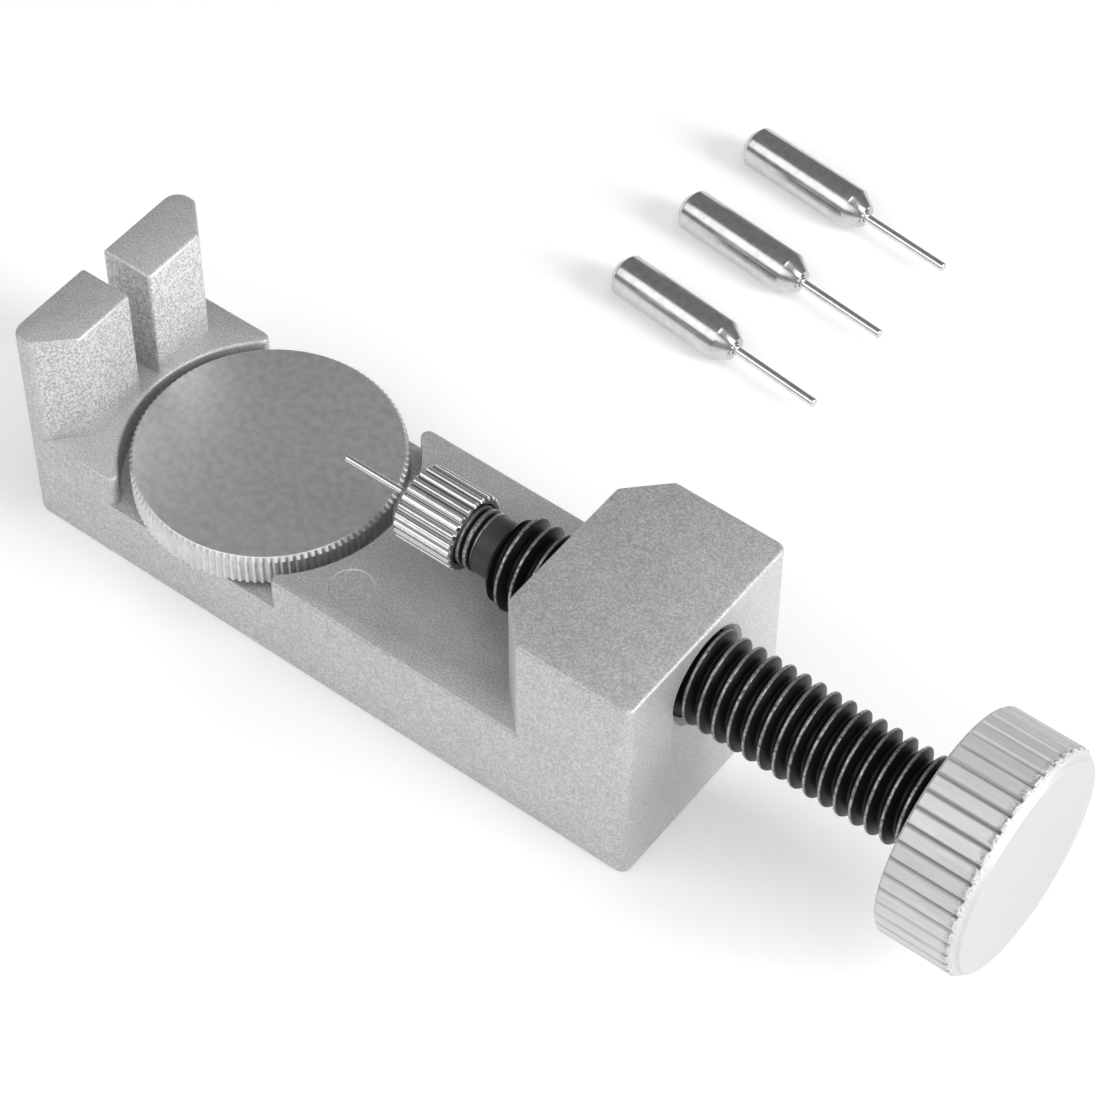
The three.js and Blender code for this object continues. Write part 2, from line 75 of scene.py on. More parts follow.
LOG = logging.getLogger("pin_press")
MM = 0.001
TINY = 1e-6  # places closer than this are one place
HAIR = 1e-8  # how near a cutting plane a vertex has to be to lie on it
FULL_TURN = 2 * math.pi
HALF_TURN = math.pi
QUARTER_TURN = math.pi / 2

Profile = Sequence[tuple[float, float]]
Colour = tuple[float, float, float]
Test = Callable[[Vector, Vector], bool]


# ------------------------------------------------------------------------------------------ bench tools


class Pick(Enum):
    """What an edit selects."""

    VERTICES = "VERT"
    EDGES = "EDGE"


class Cut(Enum):
    """How one solid changes another."""

    AWAY = "DIFFERENCE"
    DOWN_TO = "INTERSECT"
    JOIN = "UNION"


class Workpiece:
    """One mesh on the bench, and the edit-mode tools that shape it."""

    def __init__(self, name: str) -> None:
        """Takes up the primitive that was added last.

        Args:
            name: The finished piece's name.
        """
        bpy.ops.object.transform_apply(location=True, rotation=True, scale=True)
        self.body = bpy.context.active_object
        self.body.name = name
        self.body.data.name = name

    def take(self) -> None:
        """Makes this piece the only selected one."""
        bpy.ops.object.select_all(action="DESELECT")
        self.body.select_set(True)
        bpy.context.view_layer.objects.active = self.body

    @contextmanager
    def editing(self) -> Iterator[None]:
        """Opens the mesh for editing, with nothing selected, and closes it again."""
        self.take()
        bpy.ops.object.mode_set(mode="EDIT")
        bpy.ops.mesh.select_all(action="DESELECT")
        yield
        bpy.ops.object.mode_set(mode="OBJECT")

    def choose(self, pick: Pick, test: Test) -> None:
        """Selects what passes a test, in edit mode.

        Args:
            pick: Vertices or edges.
            test: Called with a vertex and its normal, or an edge's middle and its direction.
        """
        bpy.ops.mesh.select_mode(type=pick.value)
        bpy.ops.mesh.select_all(action="DESELECT")
        mesh = bmesh.from_edit_mesh(self.body.data)
        if pick is Pick.VERTICES:
            members = [(v, v.co, v.normal) for v in mesh.verts]
        else:
            members = [
                (e, (e.verts[0].co + e.verts[1].co) / 2, (e.verts[1].co - e.verts[0].co).normalized())
                for e in mesh.edges
            ]
        for member, middle, direction in members:
            if test(middle, direction):
                member.select_set(True)
        mesh.select_flush_mode()
        bmesh.update_edit_mesh(self.body.data)

    def draw(self, points: Sequence[Vector]) -> None:
        """Shrinks the primitive to one vertex and draws a line with it, in edit mode.

        Args:
            points: The line's points, in order.
        """
        bpy.ops.mesh.select_mode(type=Pick.VERTICES.value)
        bpy.ops.mesh.select_all(action="SELECT")
        bpy.ops.mesh.merge(type="CENTER")
        bpy.ops.transform.translate(value=points[0])
        for here, there in zip(points, points[1:]):
            bpy.ops.mesh.extrude_region_move(TRANSFORM_OT_translate={"value": there - here})

    def choose_bends(self, test: Callable[[Vector, float], bool]) -> None:
        """Selects edges by how sharply the surface bends over them, in edit mode.

        Args:
            test: Called with the edge's middle and the bend in degrees, negative in an inside corner.
        """
        bpy.ops.mesh.select_mode(type=Pick.EDGES.value)
        bpy.ops.mesh.select_all(action="DESELECT")
        mesh = bmesh.from_edit_mesh(self.body.data)
        for edge in mesh.edges:
            middle = (edge.verts[0].co + edge.verts[1].co) / 2
            if edge.is_manifold and test(middle, math.degrees(edge.calc_face_angle_signed())):
                edge.select_set(True)
        mesh.select_flush_mode()
        bmesh.update_edit_mesh(self.body.data)

    def weld(self) -> None:
        """Merges doubled vertices and turns every face outwards."""
        with self.editing():
            bpy.ops.mesh.select_all(action="SELECT")
            bpy.ops.mesh.remove_doubles(threshold=TINY)
            bpy.ops.mesh.normals_make_consistent(inside=False)

    def combine(self, tool: "Workpiece", how: Cut) -> None:
        """Changes this piece by another solid, which is used up.

        Args:
            tool: The other solid.
            how: Whether it is cut away, joined on, or all that stays.
        """
        self.take()
        bpy.ops.object.modifier_add(type="BOOLEAN")
        modifier = self.body.modifiers[-1]
        modifier.operation = how.value
        modifier.solver = "EXACT"
        modifier.object = tool.body
        bpy.ops.object.modifier_apply(modifier=modifier.name)
        tool.discard()

    def discard(self) -> None:
        """Removes this piece from the bench."""
        mesh = self.body.data
        bpy.data.objects.remove(self.body)
        bpy.data.meshes.remove(mesh)

    def lay(self, spot: "Spot") -> None:
        """Puts a piece that was shaped along +Z where it belongs, with its place in its mesh.

        Args:
            spot: The place and the direction of the piece's own +Z.
        """
        self.take()
        self.body.matrix_world = spot.matrix()
        bpy.ops.object.transform_apply(location=True, rotation=True, scale=True)

    def smooth(self, angle: float) -> None:
        """Shades the piece smooth, apart from its sharp edges.

        Args:
            angle: Edges that turn by more than this many degrees stay sharp.
        """
        self.take()
        bpy.ops.object.shade_smooth_by_angle(angle=math.radians(angle))

    def copy(self, name: str) -> "Workpiece":
        """Returns a copy with a mesh of its own.

        Args:
            name: The copy's name.
        """
        self.take()
        bpy.ops.object.duplicate(linked=False)
        return Workpiece(name)


@dataclass(frozen=True)
class Spot:
    """Where a turned piece lies: the origin of its own axis, and the turns that bring +Z onto it."""

    origin: Vector
    tilt: float = 0.0
    heading: float = 0.0

    def matrix(self) -> Matrix:
        """Returns the place as a matrix: tilted about Y, then turned about Z, then moved."""
        turn = Matrix.Rotation(self.heading, 4, "Z") @ Matrix.Rotation(self.tilt, 4, "Y")
        return Matrix.Translation(self.origin) @ turn


def turned(name: str, profile: Profile, sides: int, ring: bool = False) -> Workpiece:
    """Turns a solid round +Z: a disc is extruded and scaled from one station to the next.

    Args:
        name: The piece's name.
        profile: Radius and height of each station.
        sides: Facets round the axis.
        ring: Whether the profile closes on itself and leaves a hole, instead of ending in two discs.

    Returns:
        The turned piece.
    """
    radius, height = profile[0]
    bpy.ops.object.select_all(action="DESELECT")
    bpy.ops.mesh.primitive_circle_add(
        vertices=sides, radius=radius, fill_type="NOTHING" if ring else "NGON", location=(0, 0, 0)
    )
    piece = Workpiece(name)
    with piece.editing():
        bpy.ops.mesh.select_all(action="SELECT")
        bpy.ops.transform.translate(value=(0, 0, height))
        for next_radius, next_height in profile[1:]:
            rise = (0, 0, next_height - height)
            bpy.ops.mesh.extrude_region_move(TRANSFORM_OT_translate={"value": rise})
            scale = next_radius / radius
            bpy.ops.transform.resize(value=(scale, scale, 1), center_override=(0, 0, next_height))
            radius, height = next_radius, next_height
        if ring:
            bpy.ops.mesh.select_all(action="DESELECT")
            bpy.ops.mesh.select_mode(type=Pick.EDGES.value)
            bpy.ops.mesh.select_non_manifold()
            bpy.ops.mesh.bridge_edge_loops()
    piece.weld()
    return piece


def extruded(name: str, outline: Sequence[Vector], low: float, high: float) -> Workpiece:
    """Raises a solid from a plan, whose outline is drawn by extruding one vertex from point to point.

    Args:
        name: The piece's name.
        outline: The corners of the plan, in order.
        low: Height of its lower face.
        high: Height of its upper face.

    Returns:
        The raised piece.
    """
    bpy.ops.object.select_all(action="DESELECT")
    bpy.ops.mesh.primitive_plane_add(size=MM, location=(0, 0, 0))
    piece = Workpiece(name)
    with piece.editing():
        piece.draw([Vector((v.x, v.y, low)) for v in outline])
        bpy.ops.mesh.select_all(action="SELECT")
        bpy.ops.mesh.edge_face_add()
        bpy.ops.mesh.extrude_region_move(TRANSFORM_OT_translate={"value": (0, 0, high - low)})
    piece.weld()
    return piece


@dataclass(frozen=True)
class Flutes:
    """Straight grooves round a turned piece, as a repeating row of depths, one for each facet."""

    count: int
    depths: tuple[float, ...]

    @property
    def sides(self) -> int:
        """Facets round the piece."""
        return self.count * len(self.depths)

    def press(self, piece: Workpiece, radius: float, low: float, high: float) -> None:
        """Pushes the grooves into a piece that has this many sides.

        Args:
            piece: The turned piece, still along its own +Z.
            radius: The radius of the surface that is grooved.
            low: Height where the grooves begin.
            high: Height where they end.
        """
        step = FULL_TURN / self.sides
        for depth in sorted(set(self.depths) - {0.0}):

            def grooved(spot: Vector, _: Vector) -> bool:
                column = round(math.atan2(spot.y, spot.x) / step) % len(self.depths)
                on_surface = abs(math.hypot(spot.x, spot.y) - radius) < TINY
                return self.depths[column] == depth and on_surface and low <= spot.z <= high

            with piece.editing():
                piece.choose(Pick.VERTICES, grooved)
                scale = (radius - depth) / radius
                bpy.ops.transform.resize(value=(scale, scale, 1), center_override=(0, 0, 0))


@dataclass(frozen=True)
class Thread:
    """A right-hand sixty degree thread."""

    major: float
    pitch: float
    crest: float
    foot_share: float = 0.85
    round_off: float = 0.07 * MM
    slope: ClassVar[float] = math.tan(math.radians(30))

    @property
    def root(self) -> float:
        """Radius at the bottom of the groove."""
        return self.major - (self.foot_share * self.pitch - self.crest) / (2 * self.slope)

    def opened(self, crest_gap: float, root_gap: float, flank_gap: float) -> "Thread":
        """Returns the thread of a hole that this thread turns in, with play all round it.

        Args:
            crest_gap: Room outside the crest.
            root_gap: Room outside the root.
            flank_gap: Room beside each flank, along the axis.
        """
        major = self.major + crest_gap
        crest = self.crest - 2 * crest_gap * self.slope + 2 * flank_gap
        foot = crest + 2 * (major - self.root - root_gap) * self.slope
        return Thread(major, self.pitch, crest, foot / self.pitch, 0.0)

    def outline(self) -> Profile:
        """Returns one pitch of the outline, from the middle of a root to the middle of the next."""
        ease = self.round_off

        def half(radius: float) -> float:
            return self.crest / 2 + (self.major - radius) * self.slope

        side = [(self.root, self.pitch / 2), (self.root, half(self.root))]
        if ease:
            side += [
                (self.major - ease, half(self.major - ease)),
                (self.major - ease / 4, self.crest / 2 - ease / 4),
                (self.major, self.crest / 2 - ease),
            ]
        else:
            side += [(self.major, self.crest / 2)]
        return [(radius, -along) for radius, along in side] + side[::-1]

    def bar(self, name: str, low: float, high: float, sides: int) -> Workpiece:
        """Winds a threaded bar round +Z, cut off square at both ends.

        Args:
            name: The bar's name.
            low: Height of its lower end.
            high: Height of its upper end.
            sides: Facets to a turn.

        Returns:
            The bar.
        """
        first = math.floor(low / self.pitch) - 1
        turns = math.ceil(high / self.pitch) + 1 - first
        outline = [Vector((radius, 0, first * self.pitch + along)) for radius, along in self.outline()]
        bpy.ops.object.select_all(action="DESELECT")
        bpy.ops.mesh.primitive_plane_add(size=MM, location=(0, 0, 0))
        bar = Workpiece(name)
        with bar.editing():
            bar.draw(outline)
        bar.take()
        bpy.ops.object.modifier_add(type="SCREW")
        winding = bar.body.modifiers[-1]
        winding.angle = FULL_TURN
        winding.screw_offset = self.pitch
        winding.iterations = turns
        winding.steps = winding.render_steps = sides
        bpy.ops.object.modifier_apply(modifier=winding.name)
        bar.weld()
        with bar.editing():
            for height, side in ((low, -1), (high, 1)):
                bpy.ops.mesh.select_all(action="SELECT")
                bpy.ops.mesh.bisect(
                    plane_co=(0, 0, height),
                    plane_no=(0, 0, side),
                    use_fill=True,
                    clear_outer=True,
                    threshold=HAIR,
                )
        bar.weld()
        return bar

    def length(self, name: str, low: float, high: float, sides: int) -> Workpiece:
        """Winds a threaded bar whose ends are chamfered down to the root.

        Args:
            name: The bar's name.
            low: Height of its lower end.
            high: Height of its upper end.
            sides: Facets to a turn.

        Returns:
            The bar.
        """
        outside = self.major + self.crest
        chamfer = outside - self.root
        inside = self.root - self.crest / 4
        envelope = [
            (inside, low),
            (outside, low + chamfer),
            (outside, high - chamfer),
            (inside, high),
        ]
        bar = self.bar(name, low - self.pitch, high + self.pitch, sides)
        bar.combine(turned(name + "_ends", envelope, 2 * sides), Cut.DOWN_TO)
        return bar


# ------------------------------------------------------------------------------------------ finishes


class Value:
    """A number that varies over a surface. Python sums on it add Math nodes."""

    def __init__(self, recipe: "Recipe", socket: bpy.types.NodeSocket) -> None:
        """Wraps a socket.

        Args:
            recipe: The recipe whose tree the socket is in.
            socket: The output that gives the number.
        """
        self.recipe = recipe
        self.socket = socket

    def _math(self, operation: str, *terms: "Value | float", clamp: bool = False) -> "Value":
        """Adds a Math node and returns its result."""
        inputs = {i: term for i, term in enumerate(terms)}
        settings = {"operation": operation, "use_clamp": clamp}
        return self.recipe.value("ShaderNodeMath", settings, inputs)

    def __add__(self, other: "Value | float") -> "Value":
        """Returns the sum."""
        return self._math("ADD", self, other)

    __radd__ = __add__

    def __sub__(self, other: "Value | float") -> "Value":
        """Returns the difference."""
        return self._math("SUBTRACT", self, other)

    def __rsub__(self, other: float) -> "Value":
        """Returns the difference from a number."""
        return self._math("SUBTRACT", other, self)

    def __mul__(self, other: "Value | float") -> "Value":
        """Returns the product."""
        return self._math("MULTIPLY", self, other)

    __rmul__ = __mul__

    def __pow__(self, other: float) -> "Value":
        """Returns the power."""
        return self._math("POWER", self, other)

    def size(self) -> "Value":
        """Returns the number without its sign."""
        return self._math("ABSOLUTE", self)

    def sine(self) -> "Value":
        """Returns the sine."""
        return self._math("SINE", self)

    def between(self, low: float, high: float) -> "Value":
        """Returns a ramp from 0 at low to 1 at high, level past both. It falls where high is the lesser."""
        return self._math("MULTIPLY", self - low, 1 / (high - low), clamp=True)


class Recipe:
    """The node tree of one material, built round a Principled shader."""

    def __init__(self, name: str) -> None:
        """Starts a material.

        Args:
            name: The material's name.
        """
        self.material = bpy.data.materials.new(name)
        self.material.use_nodes = True
        self.tree = self.material.node_tree
        self.tree.nodes.clear()
        output = self.tree.nodes.new("ShaderNodeOutputMaterial")
        self.shader = self.tree.nodes.new("ShaderNodeBsdfPrincipled")
        self.tree.links.new(self.shader.outputs["BSDF"], output.inputs["Surface"])

    def node(self, kind: str, settings: dict, inputs: dict) -> bpy.types.Node:
        """Adds any node.

        Args:
            kind: The node's type.
            settings: Its own properties, such as a Math node's operation.
            inputs: Values or links, by socket name or number.

        Returns:
            The node.
        """
        node = self.tree.nodes.new(kind)
        for key, setting in settings.items():
            setattr(node, key, setting)
        for key, given in inputs.items():
            self.feed(node.inputs[key], given)
        return node

    def feed(self, socket: bpy.types.NodeSocket, given: object) -> None:
        """Links a socket to a value or another socket, or sets it to a number or colour."""
        if isinstance(given, Value):
            self.tree.links.new(given.socket, socket)
        elif isinstance(given, bpy.types.NodeSocket):
            self.tree.links.new(given, socket)
        else:
            socket.default_value = given

    def value(self, kind: str, settings: dict, inputs: dict, output: int | str = 0) -> Value:
        """Adds a node and returns one of its outputs as a number for sums."""
        return Value(self, self.node(kind, settings, inputs).outputs[output])

    def place(self) -> bpy.types.NodeSocket:
        """Returns the place on the piece, in metres."""
        return self.node("ShaderNodeTexCoord", {}, {}).outputs["Object"]

    def from_point(self, origin: Vector) -> bpy.types.NodeSocket:
        """Returns the place on the piece, counted from a point."""
        settings = {"operation": "SUBTRACT"}
        return self.node("ShaderNodeVectorMath", settings, {0: self.place(), 1: origin}).outputs["Vector"]

    def axes(self, vector: bpy.types.NodeSocket) -> tuple[Value, Value, Value]:
        """Returns the three parts of a vector."""
        node = self.node("ShaderNodeSeparateXYZ", {}, {"Vector": vector})
        return tuple(Value(self, socket) for socket in node.outputs)

    def noise(self, grain: float, detail: float = 2.0, where: bpy.types.NodeSocket | None = None) -> Value:
        """Returns noise whose grains are about this many metres across."""
        inputs = {"Vector": where or self.place(), "Scale": 1 / grain, "Detail": detail}
        return self.value("ShaderNodeTexNoise", {}, inputs, "Fac")

    def stretched(self, factors: tuple[float, float, float]) -> bpy.types.NodeSocket:
        """Returns the place on the piece with each axis scaled, for streaks along an axis."""
        inputs = {"Vector": self.place(), "Scale": factors}
        return self.node("ShaderNodeMapping", {}, inputs).outputs["Vector"]

    def blend(
        self, low: Colour | bpy.types.NodeSocket, high: Colour | bpy.types.NodeSocket, share: Value
    ) -> bpy.types.NodeSocket:
        """Returns a colour between two, by a share."""
        ends = [end if isinstance(end, bpy.types.NodeSocket) else (*end, 1) for end in (low, high)]
        node = self.node("ShaderNodeMix", {"data_type": "RGBA"}, {0: share, 6: ends[0], 7: ends[1]})
        return node.outputs[2]

    def bump(
        self, height: Value, depth: float, under: bpy.types.NodeSocket | None = None
    ) -> bpy.types.NodeSocket:
        """Returns normals roughened by a height.

        Args:
            height: From 0 to 1 over the surface.
            depth: What a height of 1 stands for, in metres.
            under: Normals that this goes on top of.
        """
        inputs = {"Height": height, "Distance": depth, "Strength": 1.0}
        if under is not None:
            inputs["Normal"] = under
        return self.node("ShaderNodeBump", {}, inputs).outputs["Normal"]

    def finish(self, **inputs: object) -> bpy.types.Material:
        """Sets the shader's sockets and returns the material. Underscores stand for spaces."""
        for key, given in inputs.items():
            self.feed(self.shader.inputs[key.replace("_", " ")], given)
        return self.material


@dataclass(frozen=True)
class CastAlloy:
    """Die-cast alloy with a dull blasted skin: bright crystals in a grey ground."""

    dark: Colour = (0.40, 0.405, 0.415)
    light: Colour = (0.70, 0.70, 0.70)
    roughness: float = 0.42
    crystal: float = 0.2 * MM
    crystal_depth: float = 0.028 * MM
    coarse: float = 0.26 * MM
    coarse_depth: float = 0.04 * MM
    coarse_middle: float = 0.35
    coarse_contrast: float = 1.1
    ripple: float = 1.4 * MM
    ripple_depth: float = 0.05 * MM
    patch: float = 9 * MM
    tone_shares: tuple[float, float, float] = (0.74, 0.14, 0.12)  # of crystals, ripples and patches
    blasted_from: float = -37.9 * MM  # the coarse grit's reach: x, then height, then distance from the middle
    blasted_to: float = -28 * MM
    blasted_low: float = 12.1 * MM
    blasted_high: float = 26 * MM
    blasted_side: float = 12.1 * MM

    def material(self) -> bpy.types.Material:
        """Returns the material."""
        recipe = Recipe("cast_alloy_skin")
        crystals = recipe.noise(self.crystal, 3.0)
        ripples = recipe.noise(self.ripple, 2.0)
        patches = recipe.noise(self.patch, 2.0)
        sparkle = crystals.between(0.38, 0.66)
        fine, middling, broad = self.tone_shares
        tone = sparkle * fine + ripples.between(0.3, 0.7) * middling + patches.between(0.3, 0.7) * broad
        x, y, z = recipe.axes(recipe.place())
        blasted = (x - self.blasted_to).between(0.3 * MM, 0.0) * (z - self.blasted_low).between(0.0, 2.6 * MM)
        blasted = blasted * (x - self.blasted_from).between(0.0, 0.3 * MM)
        blasted = blasted * (z - self.blasted_high).between(0.1 * MM, -0.3 * MM)
        blasted = blasted * (y.size() - self.blasted_side).between(0.2 * MM, -0.2 * MM)
        grit = recipe.noise(self.coarse, 1.0).between(0.4, 0.6)
        tone = tone + blasted * (grit - self.coarse_middle) * self.coarse_contrast
        skin = recipe.bump(ripples, self.ripple_depth)
        skin = recipe.bump(crystals, self.crystal_depth, skin)
        skin = recipe.bump(grit * blasted, self.coarse_depth, skin)
        return recipe.finish(
            Base_Color=recipe.blend(self.dark, self.light, tone),
            Metallic=0.5,
            Roughness=self.roughness + 0.14 * crystals,
            Normal=skin,
        )


@dataclass(frozen=True)
class TurnedMetal:
    """Bright turned metal, with fine tool rings round its axis, and painted shade in its grooves when
    groove_top is given.
    """

    name: str
    colour: Colour
    roughness: float
    origin: Vector
    axis: int = 0
    ring: float = 0.12 * MM
    ring_depth: float = 0.0015 * MM
    wander: float = 2.5 * MM
    mark: float = 0.9 * MM
    shaded: float = 0.82
    smudge: float = 0.06
    # groove_foot and groove_top bound a painted shade that darkens the colour towards the bottoms of grooves
    groove_foot: float = 0.0
    groove_top: float = 0.0
    groove_shade_colour: Colour = (0.3, 0.3, 0.31)

    def material(self) -> bpy.types.Material:
        """Returns the material."""
        recipe = Recipe(self.name)
        parts = recipe.axes(recipe.from_point(self.origin))
        wander = recipe.noise(self.wander) * 0.6
        across = [part for i, part in enumerate(parts) if i != self.axis]
        radius = (across[0] ** 2.0 + across[1] ** 2.0) ** 0.5
        rings = ((parts[self.axis] + radius) * (FULL_TURN / self.ring) + wander).sine() * 0.5 + 0.5
        marks = recipe.noise(self.mark, 4.0)
        shade = tuple(self.shaded * part for part in self.colour)
        colour = recipe.blend(shade, self.colour, marks.between(0.25, 0.6))
        # Painted shade: below groove_top the colour darkens towards the groove shade colour, reached at
        # groove_foot.
        if self.groove_top:
            outside_groove_shade = radius.between(self.groove_foot, self.groove_top)
            colour = recipe.blend(self.groove_shade_colour, colour, outside_groove_shade)
        return recipe.finish(
            Base_Color=colour,
            Metallic=1.0,
            Roughness=self.roughness + self.smudge * marks,
            Normal=recipe.bump(rings, self.ring_depth),
        )


@dataclass(frozen=True)
class BlackOxide:
    """Oil-black oxidised steel, rubbed grey along its thread crests, with a painted grey sheen along its
    neck.
    """

    centre: Vector
    crest_radius: float
    nose_radius: float
    neck_radius: float
    crest_width: float = 0.1 * MM
    # A painted sheen: a grey band at the neck's radius that stands in for its highlight.
    neck_painted_sheen: float = 0.12
    fleck: float = 0.35 * MM
    fleck_depth: float = 0.01 * MM
    black: Colour = (0.006, 0.006, 0.007)
    # The grey of rubbed crests, also used for the neck's painted sheen.
    wear_and_sheen: Colour = (0.42, 0.42, 0.43)

    def material(self) -> bpy.types.Material:
        """Returns the material."""
        recipe = Recipe("black_oxide_steel")
        _, y, z = recipe.axes(recipe.from_point(self.centre))
        radius = (y ** 2.0 + z ** 2.0) ** 0.5
        fleck = recipe.noise(self.fleck, 3.0)
        wear = radius.between(self.crest_radius - self.crest_width, self.crest_radius)
        nose = (radius - self.nose_radius).size().between(self.crest_width / 2, 0.0)
        # neck is a painted sheen along the neck; wear and nose are rubbed thread crests.
        neck = (radius - self.neck_radius).size().between(0.04 * MM, 0.02 * MM)
        wear_and_sheen = (wear + nose) * fleck.between(0.25, 0.6) + neck * self.neck_painted_sheen
        return recipe.finish(
            Base_Color=recipe.blend(self.black, self.wear_and_sheen, wear_and_sheen),
            Metallic=wear_and_sheen,
            Specular_IOR_Level=0.16,
            Roughness=0.3 + 0.16 * fleck - 0.06 * wear_and_sheen,
            Normal=recipe.bump(fleck, self.fleck_depth),
        )


@dataclass(frozen=True)
class KnobAlloy:
    """Pale machined alloy, with torn metal where the knurl runs out, and painted shade in the knurl's grooves
    and over the outer face.
    """

    centre: Vector
    rim: float
    run_out: float
    run_out_width: float = 0.6 * MM
    ring: float = 0.35 * MM
    ring_depth: float = 0.003 * MM
    streak: float = 0.5 * MM
    streak_stretch: tuple[float, float, float] = (0.16, 1.0, 1.0)
    crumb: float = 0.3 * MM
    crumb_depth: float = 0.12 * MM
    face_in: float = 0.3 * MM
    face_out: float = 0.9 * MM
    pale: Colour = (0.68, 0.67, 0.665)
    # The dark end of the blend: streaks on the knurl and torn metal, and also painted shade.
    soil_and_shade_colour: Colour = (0.30, 0.29, 0.285)

    def material(self) -> bpy.types.Material:
        """Returns the material."""
        recipe = Recipe("knob_alloy")
        x, y, z = recipe.axes(recipe.from_point(self.centre))
        radius = (y ** 2.0 + z ** 2.0) ** 0.5
        rings = (radius * (FULL_TURN / self.ring) + recipe.noise(4 * MM)).sine() * 0.5 + 0.5
        streaks = recipe.noise(self.streak, 3.0, recipe.stretched(self.streak_stretch))
        crumbs = recipe.noise(self.crumb, 3.0).between(0.44, 0.6)
        torn = 1 - (x - self.run_out).size().between(0.0, self.run_out_width)
        knurled = radius.between(self.rim - 0.6 * MM, self.rim - 0.5 * MM)
        knurled = knurled * (x - self.run_out).between(0.1 * MM, 0.0)
        # groove: painted shade in the knurl's grooves.
        groove = knurled * radius.between(self.rim - 0.06 * MM, self.rim - 0.4 * MM)
        # face: painted shade over the chamfer and the outer face.
        face = (x - self.run_out).between(self.face_in, self.face_out)
        # Streaks and crumbs are the metal's own marks; groove and face add painted shade.
        soil_and_shade = knurled * streaks.between(0.35, 0.75) * 0.2 + torn * crumbs * 0.5 + groove * 0.6 + face * 0.42
        skin = recipe.bump(rings, self.ring_depth)
        skin = recipe.bump(crumbs * torn, self.crumb_depth, skin)
        return recipe.finish(
            Base_Color=recipe.blend(self.pale, self.soil_and_shade_colour, soil_and_shade),
            Metallic=0.5,
            Roughness=0.5 + 0.1 * streaks,
            Normal=skin,
        )


# ------------------------------------------------------------------------------------------ shared places


@dataclass(frozen=True)
class Layout:
    """Places that the frame settles, in metres."""

    bed_low: Vector = field(default_factory=lambda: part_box("cast_frame")[0])
    bed_high: Vector = field(default_factory=lambda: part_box("cast_frame")[1])
    knob_low: Vector = field(default_factory=lambda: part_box("knob")[0])
    knob_high: Vector = field(default_factory=lambda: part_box("knob")[1])
    nut_low: Vector = field(default_factory=lambda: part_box("chuck_nut")[0])
    nut_high: Vector = field(default_factory=lambda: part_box("chuck_nut")[1])
    disc_low: Vector = field(default_factory=lambda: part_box("height_disc")[0])
    disc_high: Vector = field(default_factory=lambda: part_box("height_disc")[1])

    @property
    def screw_axis(self) -> Vector:
        """A point on the feed screw's axis, at x = 0."""
        return Vector((0, 0, (self.knob_low.z + self.knob_high.z) / 2))

    @property
    def disc_axis(self) -> Vector:
        """The point where the disc's axis meets the bench."""
        return Vector(((self.disc_low.x + self.disc_high.x) / 2, 0, 0))

    @property
    def along_screw(self) -> Spot:
        """The feed screw's axis, with +Z turned to +X."""
        return Spot(self.screw_axis, tilt=QUARTER_TURN)

    @property
    def along_disc(self) -> Spot:
        """The disc's axis."""
        return Spot(self.disc_axis)


def stand_in(piece: Workpiece, node: str, material: bpy.types.Material, angle: float = 30) -> None:
    """Puts a finished piece in the place of a node of the frame.

    Args:
        piece: The finished piece.
        node: The node that it replaces, and whose body it rides on.
        material: Its finish.
        angle: Edges that turn by more than this many degrees stay sharp.
    """
    piece.smooth(angle)
    piece.body.data.materials.clear()
    piece.body.data.materials.append(material)
    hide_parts(node)
    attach(piece.body, frame["nodes"][node]["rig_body"])
    LOG.info("%s stands for %s: %d faces", piece.body.name, node, len(piece.body.data.polygons))


FEED_THREAD = Thread(4.9 * MM, 1.7 * MM, 0.25 * MM)
STEM_THREAD = Thread(3 * MM, 1 * MM, 0.2 * MM, round_off=0.05 * MM)
NOSE_THREAD = Thread(3.2 * MM, 0.9 * MM, 0.4 * MM, round_off=0.06 * MM)
TAP_PLAY = (0.2 * MM, 0.3 * MM, 0.1 * MM)  # outside a thread's crest, outside its root, beside its flanks
PIN_RADIUS = 2.4 * MM


# ------------------------------------------------------------------------------------------ casting


